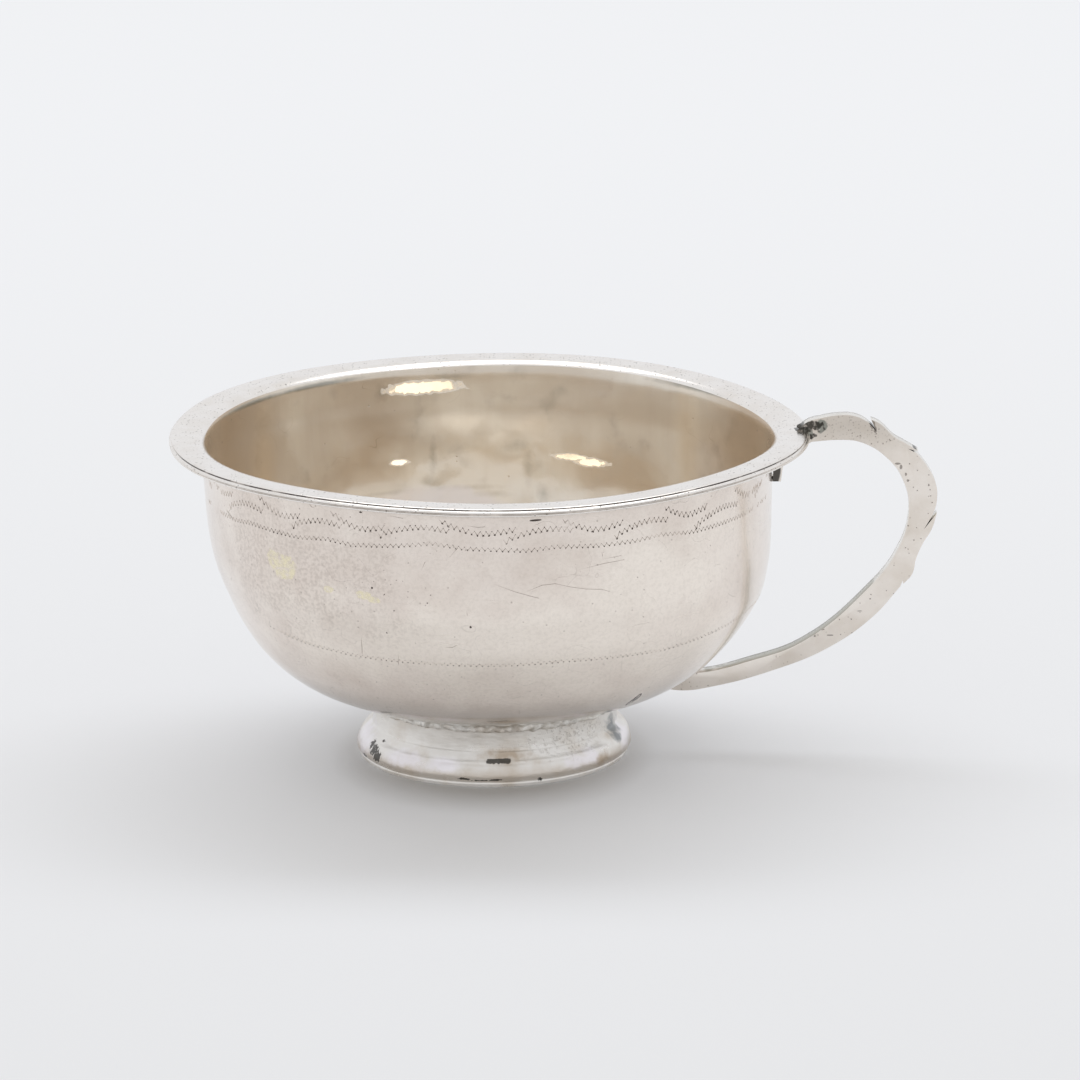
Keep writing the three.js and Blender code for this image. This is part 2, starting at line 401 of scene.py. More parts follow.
def underBead(place, normal):
    low, high = wireSize["seam"]
    return 1 if normal.z < -0.35 and low * mm < place.z < high * mm else 0


rimWire = makeRing("rim_moulding", wireSize, pick=underBead)
foot = makeRing("spool_foot", footSize)
footWire = makeRing("foot_ring", footWireSize, share=lambda co: min(1.0, co.z / (footWireSize["flat"] * mm)))
footSeam = makeRing("foot_joint", footSeamSize)


# handle, sawn from thick sheet
handleSize = {
    "rim": (46, 48),  # mm from the cup's axis, what each run of points is measured from
    "back": (64.45, 48),
    "tail": (22, 10),
    "thick": ((8.9, 2.8), (48, 2.1)),  # height and thickness
    "edge": 0.13,
    "droop": (0.5, 9),  # the upper end follows the dip of the rim: how far in mm and over how many mm
    "deeper": 0.25,  # mm that it goes into the bowl's wall
    "seatLip": [
        (40.7, 40.5), (41, 41.2), (41, 43.5), (41.1, 44.8), (41.3, 46), (41.9, 46.9), (43, 47.25), (43.4, 47.3),
        (43.4, 48.5), (0.8, 48.5),
    ],
}
# x, z and 1 where the saw turned a corner
handleLine = (
    ("rim", ((-1.8, 0, 1), (-0.3, 1.3, 0), (1.7, 1.8, 0), (4, 2, 0), (6.8, 1.6, 0), (8.75, 0.35, 0), (9.7, -0.8, 1))),
    ("rim", ((8.85, 1.1, 1), (10.1, 0.5, 0), (12.3, -1.6, 0))),
    ("back", ((-4.85, -2.35, 0), (-2.75, -3.65, 1), (-4.15, -3.35, 1), (-2.95, -4, 1))),
    ("back", ((-1.3, -6.2, 0), (-0.2, -8.6, 0), (0, -10.2, 0), (-0.4, -12.5, 0), (-1.85, -15.2, 1))),
    ("back", (
        (-0.05, -12.9, 1), (-0.75, -15.2, 0), (-2.1, -17.5, 0), (-3, -19.6, 0), (-3.6, -22, 0), (-4.85, -23.4, 1),
    )),
    ("back", ((-4.95, -22.9, 1), (-5.3, -23.8, 1))),
    ("tail", (
        (33.3, 9.8, 0), (26.7, 5.1, 0), (19, 1.9, 0), (9.7, -0.6, 0), (5.6, -1.1, 0), (2.6, -0.6, 0), (0, 0.6, 1),
    )),
    ("tail", ((2.6, 1.7, 1), (8.5, 1.6, 0), (15.2, 3.2, 0), (22.9, 6, 0))),
    ("back", ((-10.15, -24.2, 0), (-5.85, -18.6, 0), (-4.1, -13, 0), (-4.85, -8.2, 0), (-7.2, -4.7, 0))),
    ("rim", (
        (7.5, -2.3, 0), (3.9, -1.7, 0), (0.3, -1.75, 1), (-3.7, -4.8, 1), (-4.1, -7.95, 1), (-5.7, -7.95, 1),
        (-5.7, -0.9, 1),
    )),
)


def makeHandle():
    s = handleSize
    points = [(s[base][0] + x, s[base][1] + z, corner) for base, run in handleLine for x, z, corner in run]
    outline = addShape(bpy.ops.curve.primitive_bezier_circle_add, radius=mm)
    outline.data.dimensions = "2D"
    outline.data.fill_mode = "NONE"
    outline.data.resolution_u = 6
    spline = outline.data.splines[0]
    spline.bezier_points.add(len(points) - len(spline.bezier_points))
    for knot, (x, z, corner) in zip(spline.bezier_points, points):
        knot.co = (x * mm, z * mm, 0)
        knot.handle_left_type = knot.handle_right_type = "VECTOR" if corner else "AUTO"
    spline.use_cyclic_u = True
    outline.rotation_euler = (math.pi / 2, 0, 0)
    outline.location = (cupX, 0.5 * mm, 0)
    bpy.ops.object.convert(target="MESH")
    piece = bpy.context.object
    piece.name = "strap_handle"
    placeInMesh(piece)
    bpy.ops.object.mode_set(mode="EDIT")
    bpy.ops.mesh.select_mode(type="EDGE")
    bpy.ops.mesh.select_all(action="SELECT")
    bpy.ops.mesh.remove_doubles(threshold=0.00002)
    bpy.ops.mesh.edge_face_add()
    bpy.ops.mesh.extrude_region_move(TRANSFORM_OT_translate={"value": (0, -mm, 0)})
    bpy.ops.mesh.select_all(action="SELECT")
    bpy.ops.mesh.normals_make_consistent(inside=False)
    endEdit()
    for vert in piece.data.vertices:  # filed thinner towards the rim
        vert.co.y *= between(s["thick"], vert.co.z / mm)
    return piece


handle = makeHandle()
applyModifier(
    handle, "BEVEL", width=handleSize["edge"] * mm, segments=2, limit_method="ANGLE", angle_limit=math.radians(60)
)
seat = turnPiece("seat_form", bowlLine(handleSize["deeper"]) + handleSize["seatLip"], bowlSize["around"])
wearOut(seat)
applyModifier(handle, "BOOLEAN", object=seat, operation="DIFFERENCE", solver="EXACT")
remove(seat)
pickVerts(handle, lambda co: co.x < cupX + 46 * mm and co.z > 47 * mm)
bpy.ops.transform.translate(
    value=(0, 0, -handleSize["droop"][0] * mm),
    use_proportional_edit=True,
    proportional_edit_falloff="SMOOTH",
    proportional_size=handleSize["droop"][1] * mm,
)
endEdit()
paintFaces(handle, 2, lambda place, normal: 0 if abs(normal.y) > 0.9 else 1)
smoothFaces(handle, 35)
print("handle sawn,", len(handle.data.polygons), "faces")


# solder at both ends of the handle
solderSize = {
    "rim": {"at": (45.25, 0, 47.95), "size": (1.1, 1.3, 0.26), "lump": 0.2},
    "tail": {"at": (24, 0, 9.95), "size": (3, 2.5, 0.8), "lump": 0.5},
}


def makeSolder(name, pool):
    place = Vector(pool["at"]) * mm + Vector((cupX, 0, 0))
    ball = bpy.ops.mesh.primitive_ico_sphere_add
    piece = addShape(ball, subdivisions=5, radius=mm, location=place, scale=pool["size"])
    piece.name = name
    placeInMesh(piece)
    roughen(piece, "CLOUDS", 1.2, pool["lump"], noise_depth=2)
    smoothFaces(piece, 60)
    return piece


rimSolder = makeSolder("rim_joint", solderSize["rim"])
tailSolder = makeSolder("tail_joint", solderSize["tail"])
print("solder run")


# engraving, walked from side to side with a flat graver
frieze = {
    "radius": 41.1,
    "pitch": 0.82,
    # each kind of tooth: its height and the width of a stroke in mm, and the size of its dots against the first kind's
    "large": (0.58, 0.09, 1),
    "border": (0.435, 0.08, 0.75),
    "lower": (0.406, 0.06, 0.62),
    "tipWidth": 0.035,
    "deepDot": 0.28,  # the graver dug in at the foot of each stroke
    "shallowDot": 0.16,
    "deep": {"strokes": 0.04, "dots": 0.06, "lower": 0.03},
    "jitter": {"strokes": 0.05, "dots": 0.06, "lower": 0.06},  # mm that a point strays
    "behind": (10, 12.8, 43.2),  # how many swags or arches go round the back, their run and height
    "rubbed": ((0, 0), (36, 0), (39, 0.4), (40.3, 1), (60, 1)),  # mm from the middle and the share of teeth gone
    # start in degrees from the front, run in degrees, height of the low or high part in mm
    "swags": (
        (-51.3, 11.8, 43.1), (-31.8, 11.6, 43.1), (-9, 14.8, 43.2), (15.1, 12.8, 42.9), (37.5, 12, 42.7),
        (58.8, 12, 42.4),
    ),
    "arches": (
        (-62.9, 12.8, 43.3), (-41.8, 12.3, 43.5), (-21.5, 14.3, 44), (3.5, 13.8, 43.6), (26.1, 12.5, 43.1),
        (45.8, 14.7, 42.3),
    ),
    "swagShape": ((0, 1.75), (0.14, 1), (0.3, 0.45), (0.45, 0.05), (0.6, 0), (0.8, 0.25), (1, 0.6)),
    "archShape": ((0, -1.6), (0.06, -1.1), (0.2, -0.65), (0.42, -0.15), (0.6, 0), (0.8, -0.15), (1, -0.55)),
    "borderLine": (
        (-180, 40.8), (-120, 40.8), (-75, 40), (-60.3, 40.1), (-54.8, 40.6), (-45.4, 40.5), (-40.5, 40.45),
        (-33.5, 41), (-27.8, 40.6), (-18, 41.15), (-11, 41.75), (-4.7, 41.1), (1.3, 40.95), (7.4, 40.65),
        (12.9, 41), (22.1, 40.6), (30.8, 40.55), (35.9, 40.8), (44.6, 40.1), (55.2, 40), (62.9, 39.9), (80, 40.1),
        (120, 40.8), (180, 40.8),
    ),
    "lowerLine": (
        (-180, 25), (-100, 26.6), (-65.5, 27.3), (-56.7, 25.4), (-44.8, 24.1), (-31.3, 23.6), (-15, 23.55),
        (-0.1, 23.4), (14.8, 23.7), (28.7, 23.3), (39.2, 23), (48.1, 23.3), (70, 24.4), (110, 25), (180, 25),
    ),
    "lowerRadius": 38.1,
    "round": (-180, 359.7),  # start and run of a line that goes all the way round
}


def makeTooth(kind):  # two strokes that meet at their wide end
    tall, width, _ = frieze[kind]
    tooth = addShape(bpy.ops.mesh.primitive_plane_add, size=mm, rotation=(math.pi / 2, 0, 0))
    placeInMesh(tooth)
    pickVerts(tooth)
    bpy.ops.transform.resize(value=(width, 1, tall), center_override=(0, 0, 0))
    endEdit()
    pickVerts(tooth, lambda co: co.z > 0)
    bpy.ops.transform.resize(value=(frieze["tipWidth"] / width, 1, 1), center_override=(0, 0, 0))
    bpy.ops.transform.translate(value=(frieze["pitch"] / 2 * mm, 0, 0))
    endEdit()
    applyModifier(tooth, "MIRROR", use_mirror_merge=False)
    return tooth


def makeDots(kind):  # the dots at the foot and at the head of a stroke
    tall, _, grow = frieze[kind]
    dots = []
    for wide, across, up in ((frieze["deepDot"], 0, -0.5), (frieze["shallowDot"], 0.5, 0.5)):
        dot = addShape(bpy.ops.mesh.primitive_circle_add, vertices=6, radius=wide * grow / 2 * mm, fill_type="TRIFAN")
        dot.location = (across * frieze["pitch"] * mm, 0, up * tall * mm)
        dot.rotation_euler = (math.pi / 2, 0, 0)
        placeInMesh(dot)
        dots.append(dot)
    return joinPieces(dots, "dots")


def makeRun(tooth, start, sweep, radius, line, jitter, seed):  # degrees from the front, heights in mm
    length = math.radians(sweep) * radius
    count = max(2, round(length / frieze["pitch"]))
    run = copyPiece(tooth)
    applyModifier(
        run,
        "ARRAY",
        count=count,
        use_relative_offset=False,
        use_constant_offset=True,
        constant_offset_displace=(length / count * mm, 0, 0),
    )
    pickVerts(run)
    bpy.ops.transform.vertex_random(offset=jitter * mm, uniform=0.2, normal=0, seed=seed)
    endEdit()
    for vert in run.data.vertices:  # along the line, then round the cup
        angle = math.radians(start) + vert.co.x / (radius * mm)
        vert.co.z += line(math.degrees(angle), vert.co.x / (length * mm)) * mm
        vert.co.x, vert.co.y = cupX + radius * mm * math.sin(angle), -radius * mm * math.cos(angle)
    chance, each = random.Random(seed), len(tooth.data.vertices)
    asides = [abs(run.data.vertices[i * each].co.x - cupX) / mm for i in range(count)]
    gone = [chance.random() < between(frieze["rubbed"], aside) for aside in asides]
    pickVerts(run, lambda co: False)
    endEdit()
    for vert in run.data.vertices:
        vert.select = gone[vert.index // each]
    bpy.ops.object.mode_set(mode="EDIT")
    bpy.ops.mesh.delete(type="VERT")
    endEdit()
    return run


def layOn(piece, deep):  # drawn onto the bowl, then given its depth in the metal
    applyModifier(piece, "SHRINKWRAP", target=bowl, wrap_method="NEAREST_SURFACEPOINT", wrap_mode="ON_SURFACE")
    applyModifier(piece, "SOLIDIFY", thickness=deep * mm, offset=0, use_even_offset=False)
    pickVerts(piece)
    bpy.ops.mesh.normals_make_consistent(inside=False)
    endEdit()


def fullRound(measured):  # the measured runs, then even ones round the back
    count, sweep, height = frieze["behind"]
    start = measured[-1][0]
    step = (360 + measured[0][0] - start) / (count + 1)
    return list(measured) + [(start + step * (i + 1), sweep, height) for i in range(count)]


def makeFrieze(makeStamp, name, jitter):  # every swag and arch, and the border of smaller teeth under them
    large, small, runs = makeStamp("large"), makeStamp("border"), []
    for kind, shape, seed in (("swags", "swagShape", 0), ("arches", "archShape", 40)):
        for i, (start, sweep, height) in enumerate(fullRound(frieze[kind])):
            line = lambda angle, share: height + between(frieze[shape], share)
            runs.append(makeRun(large, start, sweep, frieze["radius"], line, jitter, seed + i))
    border = lambda angle, share: between(frieze["borderLine"], angle)
    runs.append(makeRun(small, *frieze["round"], frieze["radius"], border, jitter, 90))
    remove(large)
    remove(small)
    return joinPieces(runs, name)


def makeLower(makeStamp, name):  # the line of small teeth under the belly
    stamp = makeStamp("lower")
    line = lambda angle, share: between(frieze["lowerLine"], angle)
    run = makeRun(stamp, *frieze["round"], frieze["lowerRadius"], line, frieze["jitter"]["lower"], 91)
    run.name = name
    remove(stamp)
    wearOut(run)
    return run


engraving = makeFrieze(makeTooth, "wriggle_work", frieze["jitter"]["strokes"])
layOn(engraving, frieze["deep"]["strokes"])
points = makeFrieze(makeDots, "wriggle_points", frieze["jitter"]["dots"])
lowerLine, lowerPoints = makeLower(makeTooth, "wriggle_line"), makeLower(makeDots, "lower_points")
layOn(lowerLine, frieze["deep"]["lower"])
points = joinPieces([points, lowerPoints], "wriggle_points")
layOn(points, frieze["deep"]["dots"])
print("engraving cut,", len(engraving.data.polygons) + len(lowerLine.data.polygons), "faces")


# scratches and nicks of use on the wall
marks = {
    "thin": 0.07,  # mm wide
    "deep": (0.03, 0.04),  # mm, of a scratch and of a nick
    "lines": (  # degrees from the front and height in mm, each point joined to the next
        ((7.5, 34.8), (10.6, 35.6), (13.3, 35.7), (16, 35.1), (19.5, 34.5), (22.8, 34.2), (24.5, 33.7)),
        ((1.2, 36), (5.2, 34.8), (9.8, 33.7)),
        ((18.7, 37.5), (23.5, 37.95), (27.9, 38.1)),
        ((23, 38.6), (27.3, 38.75)),
        ((23.1, 39.8), (23.2, 39)),
        ((-7.6, 39.6), (-5.6, 41.2)),
        ((-13.1, 37.7), (-12.2, 39)),
        ((-3.8, 44.4), (-1.6, 44.2), (-0.3, 44.3)),
        ((-19.2, 45.2), (-16.5, 45)),
        ((-37.3, 45.5), (-36.6, 45), (-35.9, 45.1)),
        ((-28.2, 26.7), (-28.7, 25.2), (-29.1, 23.9)),
        ((-20.5, 24.5), (-20.9, 22.8)),
        ((-4.6, 32.1), (-4.6, 31.3)),
        ((-10.2, 26.2), (-8.6, 26.2), (-7.6, 26.6)),
    ),
    "nicks": (  # angle, height, length, width, tilt in degrees
        (9.4, 45.1, 1.7, 0.3, 2),
        (-25.4, 45.3, 0.45, 0.28, 0),
        (-63.4, 40.5, 2.2, 0.3, -25),
        (40.6, 13.7, 2.4, 1, 85),
        (-23.6, 34.6, 0.3, 0.3, 0),
        (-4.2, 29.5, 0.32, 0.32, 0),
        (-21.1, 33.8, 0.35, 0.12, 60),
        (-19.4, 31.5, 0.2, 0.18, 0),
        (-21.9, 27.9, 0.2, 0.2, 0),
        (-12.3, 33, 0.22, 0.18, 0),
        (-11.5, 34.2, 0.2, 0.16, 0),
    ),
}


def bowlRadius(height):
    s = bowlSize
    drop = min(1.0, max(0.0, s["bellyTop"] - height) / (s["bellyTop"] - s["bottom"]))
    return s["wallRadius"] * (1 - drop * drop) ** (1 / s["squareness"])


def onWall(angle, height):  # a little outside the wall, so that it is laid on the right side of it
    turn, radius = math.radians(angle), bowlRadius(height) + 0.5
    return Vector((cupX + radius * mm * math.sin(turn), -radius * mm * math.cos(turn), height * mm))


def makeScratch(points, width):  # one strip, drawn along by its end edge
    places = [onWall(*point) for point in points]
    strip = addShape(bpy.ops.mesh.primitive_plane_add, size=mm)
    placeInMesh(strip)
    outward = Vector((places[0].x - cupX, places[0].y, 0))
    side = (places[1] - places[0]).cross(outward).normalized() * width * mm / 2
    corners = (places[0], places[0], places[1] - side, places[1] + side)
    for vert, place in zip(sorted(strip.data.vertices, key=lambda v: (v.co.y, v.co.x)), corners):
        vert.co = place
    for here, there in zip(places[1:], places[2:]):
        pickVerts(strip, lambda co: (co - here).length < width * mm)
        bpy.ops.mesh.select_mode(type="EDGE")
        bpy.ops.mesh.extrude_edges_move(TRANSFORM_OT_translate={"value": there - here})
        endEdit()
    pickVerts(strip)
    bpy.ops.mesh.subdivide(number_cuts=3)
    bpy.ops.mesh.remove_doubles(threshold=0.000001)
    endEdit()
    return strip


def makeNick(angle, height, length, width, lean):
    centre, turn = onWall(angle, height), math.radians(lean)
    nick = addShape(bpy.ops.mesh.primitive_circle_add, vertices=14, radius=mm / 2, fill_type="TRIFAN")
    nick.location, nick.rotation_euler = centre, (math.pi / 2, 0, math.radians(angle))
    side = Vector((math.cos(math.radians(angle)), math.sin(math.radians(angle)), 0))
    placeInMesh(nick)
    for vert in nick.data.vertices:  # across and up, turned by its lean, then laid along the wall
        across, up = (vert.co - centre).dot(side) * length / mm, (vert.co.z - centre.z) * width / mm
        along, rise = across * math.cos(turn) - up * math.sin(turn), across * math.sin(turn) + up * math.cos(turn)
        vert.co = onWall(angle + math.degrees(along / bowlRadius(height)), height + rise)
    return nick


scratches = joinPieces([makeScratch(points, marks["thin"]) for points in marks["lines"]], "wall_scratches")
nicks = joinPieces([makeNick(*nick) for nick in marks["nicks"]], "wall_nicks")
for piece, deep in zip((scratches, nicks), marks["deep"]):
    wearOut(piece)
    layOn(piece, deep)
print("scratches and nicks made")


# Finishes, with places in mm from the foot of the cup's axis. In a look, a group of marks is given by how ragged it is,
# the grain of that in mm and how soft its edge is, and then each mark's centre and its reach, three numbers for both.
def startMaterial(name):
    material = bpy.data.materials.new(name)
    material.use_nodes = True
    material.node_tree.nodes.clear()
    return material, material.node_tree


def placeOn(tree, stretch=(1, 1, 1)):  # mm from the foot of the cup's axis, each way multiplied by stretch
    size = [s / mm for s in stretch]
    spot = addNode(tree, "TexCoord").outputs["Object"]
    return addNode(tree, "Mapping", {"Location": (-cupX * size[0], 0, 0), "Scale": size}, {"Vector": spot})


def joined(tree, way, *masks):  # all of them as one, taken in turn
    total = masks[0]
    for mask in masks[1:]:
        total = addNode(tree, "Math", links={0: total, 1: mask}, operation=way)
    return total


# 1 where all steps are full; each is a value, where it is empty and where it is full
def ramps(tree, *steps, kind="LINEAR"):
    parts = []
    for value, empty, full in steps:
        ends = {"From Min": empty, "From Max": full}
        parts.append(addNode(tree, "MapRange", ends, {"Value": value}, interpolation_type=kind))
    return joined(tree, "MULTIPLY", *parts)


# A finish in the making, with the place on the cup, how far to either side and how high that is, and the colour so far.
# Its masks go from 0 to 1.
class Metal:
    def __init__(self, name, look):
        self.material, self.tree = startMaterial(name)
        self.look, self.place, self.colour = look, placeOn(self.tree), None
        parts = self.add("SeparateXYZ", links={0: self.place})
        self.aside, self.height = self.add("Math", links={0: parts}, operation="ABSOLUTE"), parts.outputs[2]

    def add(self, kind, values=None, links=None, **settings):
        return addNode(self.tree, kind, values, links, **settings)

    def join(self, way, *masks):
        return joined(self.tree, way, *masks)

    def cloud(self, size, low, high, detail=3.0, top=1.0, place=None):  # 0 to top in patches of about size mm
        noise = {"Scale": 1 / size, "Detail": detail, "Roughness": 0.55}
        noise = self.add("TexNoise", noise, {"Vector": place or self.place})
        return self.add("MapRange", {"From Min": low, "From Max": high, "To Max": top}, {"Value": noise})

    def pits(self, *kinds):  # 1 inside a pit; a kind is its cell in mm, the share of cells that have one and its width
        parts = []
        for size, share, wide in kinds:
            cell = self.add("TexVoronoi", {"Scale": 1 / size, "Randomness": 1.0}, {"Vector": self.place})
            chance = self.add("SeparateColor", links={0: cell.outputs["Color"]})
            some = self.add("Math", {1: 1 - share}, {0: chance}, operation="GREATER_THAN")
            hole = ramps(self.tree, (cell.outputs["Distance"], wide, wide * 0.5))
            parts.append(self.join("MULTIPLY", some, hole))
        return self.join("MAXIMUM", *parts)

    def hairs(self, size, fine, shown):  # the level line of a noise, as thin curved scratches
        noise = self.add("TexNoise", {"Scale": 1 / size, "Detail": 1.5}, {"Vector": self.place})
        off = self.add("Math", {1: 0.5}, {0: noise}, operation="SUBTRACT")
        off = self.add("Math", links={0: off}, operation="ABSOLUTE")
        line, part = ramps(self.tree, (off, fine, 0)), self.cloud(size * 0.8, 1 - shown, 1.06 - shown, 1.0)
        return self.join("MULTIPLY", line, part)

    def spots(self, name):  # 1 within any mark of the look's group of that name
        ragged, grain, soft, *marks = self.look[name]
        noise = self.add("TexNoise", {"Scale": 1 / grain, "Detail": 4.0}, {"Vector": self.place})
        edge = self.add("Math", {1: ragged * 4, 2: -ragged * 2}, {0: noise}, operation="MULTIPLY_ADD")
        parts = []
        for mark in marks:
            away = self.add("VectorMath", {1: mark[:3]}, {0: self.place}, operation="SUBTRACT")
            away = self.add("VectorMath", {1: mark[3:]}, {0: away}, operation="DIVIDE")
            parts.append(self.add("VectorMath", links={0: away}, operation="LENGTH").outputs["Value"])
        total = self.join("ADD", self.join("MINIMUM", *parts), edge)
        return ramps(self.tree, (total, 1 + soft, 1 - soft))

    def lay(self, share, name, *masks):  # a colour over the one so far, as much as its share where every mask is 1
        amount = self.add("Math", {1: share}, {0: self.join("MULTIPLY", *masks)}, operation="MULTIPLY")
        values, links = {7: linear(self.look[name])}, {0: amount}
        if self.colour:
            links[6] = self.colour
        else:
            values[6] = linear(self.look["metal"])
        self.colour = self.add("Mix", values, links, data_type="RGBA").outputs[2]

    def relief(self, *layers, normal=None):  # height, depth in mm and 1 where it is raised or -1 where it is cut
        for height, depth, way in layers:
            links = {"Height": height, **({"Normal": normal} if normal else {})}
            normal = self.add("Bump", {"Distance": depth * mm, "Strength": 1.0}, links, invert=way < 0)
        return normal

    # the normal leaned back by each mark, a mask and degrees, so that the metal there shows what stands higher up
    def leanBack(self, *marks):
        normal = self.add("NewGeometry").outputs["Normal"]
        for mask, lean in marks:
            rise = (0, 0, math.tan(math.radians(lean)))
            push = self.add("VectorMath", {0: rise}, {"Scale": mask}, operation="SCALE")
            normal = self.add("VectorMath", links={0: normal, 1: push}, operation="ADD")
        return self.add("VectorMath", links={0: normal}, operation="NORMALIZE")

    def end(self, spread, grain, normal, values=None, links=None):  # the roughness goes up and down with the grain
        rough = self.look["rough"]
        shine = self.add("MapRange", {"To Min": rough - spread, "To Max": rough + spread}, {"Value": grain})
        links = {"Base Color": self.colour, "Roughness": shine, "Normal": normal, **(links or {})}
        shader = self.add("BsdfPrincipled", {"Metallic": 1.0, **(values or {})}, links)
        self.add("OutputMaterial", links={"Surface": shader})
        return self.material


coat = {"Coat Weight": 0.6, "Coat Roughness": 0.04}  # the thin clear shine that hands leave on the wall

# Old silver rubbed by hand for two centuries: a soft sheen, not a mirror, with a pinkish film, fine pits and scratches
outsideLook = {
    "metal": "#f0e6dd",
    "film": "#e0d3c8",
    "paler": "#fcf4ea",
    "grimeAndShade": "#aea397",
    "pit": "#857870",
    "speck": "#8c7d74",
    "lacquer": "#fff6d0",
    "rough": 0.25,
    "left": (0.9, 5, 0.4, (-27, -27, 35, 14, 14, 9)),
    # painted reflection: lighter patches on the front and the right of the wall, where it shows the bright table
    "rubbed": (0.7, 7, 0.6, (4, -36, 25.5, 34, 16, 6.5), (26, -26, 20, 12, 12, 7), (24, -32, 34, 12, 12, 7)),
    "lacquered": (
        0.3, 1.1, 0.1, (-30.2, -27.4, 36.3, 1.7, 1.7, 1.4), (-28.3, -29.2, 36, 1.7, 1.7, 1.5),
        (-29, -28.4, 34.4, 1.9, 1.9, 0.8), (-22.6, -33.8, 33.6, 0.8, 0.8, 0.5), (-17.6, -36.7, 33.5, 1.1, 1.1, 0.7),
        (-16.2, -37.3, 32.9, 0.9, 0.9, 0.5),
    ),
}


def makeOutside():
    m = Metal("handRubbedSilver", outsideLook)
    m.lay(1, "film", m.cloud(9, 0.42, 0.66, 5.0, 0.55))
    m.lay(0.4, "paler", m.cloud(5, 0.55, 0.75))
    left = m.spots("left")
    m.lay(0.25, "film", left)
    m.lay(0.9, "grimeAndShade", ramps(m.tree, (m.height, 17, 11)))  # painted shade: darker towards the bottom, under the belly
    # painted reflection on the lower front and the right of the wall
    m.lay(0.75, "paler", m.spots("rubbed"))
    m.lay(0.15, "grimeAndShade", m.cloud(0.5, 0.45, 0.7, 5.0))
    specks = m.join("MAXIMUM", m.pits((0.32, 0.45, 0.3), (0.5, 0.35, 0.26)), m.cloud(0.5, 0.42, 0.62))
    m.lay(0.16, "speck", specks, left)
    pits = m.pits((0.8, 0.16, 0.16), (1.6, 0.14, 0.1))
    m.lay(0.45, "pit", pits)
    hairs = m.hairs(7, 0.0022, 0.5)
    m.lay(0.22, "pit", hairs)
    lacquer = m.join("MULTIPLY", m.spots("lacquered"), m.cloud(0.7, 0.3, 0.6))
    m.lay(0.75, "lacquer", lacquer)
    streaks = m.add("TexNoise", {"Scale": 1.0, "Detail": 3.0}, {"Vector": placeOn(m.tree, (0.12, 0.12, 3.5))})
    fine = m.add("TexNoise", {"Scale": 1 / 0.35, "Detail": 2.0}, {"Vector": m.place})
    # beaten squarer than the curve of the form, so it shows the bright table further out
    leaned = m.leanBack((ramps(m.tree, (m.height, 30, 23), (m.height, 13, 20), kind="SMOOTHSTEP"), 11))
    normal = m.relief((streaks, 0.02, 1), (fine, 0.006, 1), (pits, 0.04, -1), (hairs, 0.02, -1), normal=leaned)
    metallic = m.add("Math", {1: -0.5, 2: 1.0}, {0: lacquer}, operation="MULTIPLY_ADD")
    return m.end(0.06, streaks, normal, coat, {"Metallic": metallic})


# Inside, planished over a stake and seldom rubbed: flat hammer marks that reflect each other, some with grey outlines
insideLook = {
    "metal": "#f4eee4",
    "film": "#dfd5c7",
    "ends": "#b9a184",
    "gleam": "#f3dcba",
    "lilac": "#efe6e2",
    "outline": "#8f9088",
    "pit": "#8f8170",
    "rough": 0.18,
    "hammer": 12,  # mm across one hammer mark
    "paler": (0.5, 5, 0.4, (-1.5, 38, 32, 8, 16, 8), (-3, 38, 40, 9, 14, 5), (-24, 32, 38, 4, 12, 6)),
    "brownerPatches": (0.5, 5, 0.5, (8, 38, 40, 5, 14, 4), (-16, 36, 39, 5, 12, 3), (1, 38, 47, 17, 14, 1.4)),
    "lines": (
        0.5, 1, 0.9, (-8.8, 38, 34.1, 0.4, 14, 1.8), (-9.5, 38, 30.4, 0.8, 14, 0.6), (3.5, 38, 35.4, 1.3, 14, 0.6),
        (5.4, 38, 32.2, 0.5, 14, 1.8), (7.7, 38, 28.4, 0.7, 14, 0.9), (-0.1, 38, 28.2, 1.8, 14, 0.35),
        (-16.3, 36, 44.4, 0.7, 12, 0.9), (-5.8, 38, 46.1, 1.7, 12, 0.4), (-3.5, 38, 29.2, 3.4, 14, 0.3),
        (-16, 37, 29.2, 3, 14, 0.25),
    ),
    # painted highlights and reflections on the back wall, with the normals leaned there as well
    "gleams": (
        0.28, 1, 0.22, (-10.1, 38, 44.7, 5.4, 12, 1), (12, 38, 34, 2.6, 12, 0.5), (14.8, 38, 33.4, 2.3, 12, 0.6),
        (-13.9, 38, 33.6, 1.4, 12, 0.45),
    ),
    "pane": (0.4, 3, 0.6, (-1, 38, 30.5, 7, 12, 5.5)),
    "stripes": (0.3, 3, 0.9, (29, 28, 38, 1.2, 14, 7), (-33.5, 22, 36, 1.2, 14, 7)),
    "lens": (0.15, 3, 0.12, (-9.6, 38, 25.3, 11.5, 14, 4.3)),
    "halo": (0.4, 3, 0.6, (13.5, 38, 32.6, 6.5, 12, 3.2), (-18, 35, 31, 8, 14, 5), (21, 33, 29.5, 8, 14, 4.5)),
    # painted reflection: dark grey lines where the rounded lip shows the dark inside
    "lip": (0.2, 1.5, 0.5, (-34, 20, 47, 7, 9, 0.3), (-26, 30, 47, 7, 8, 0.3), (32, 25, 47, 8, 9, 0.35)),
}


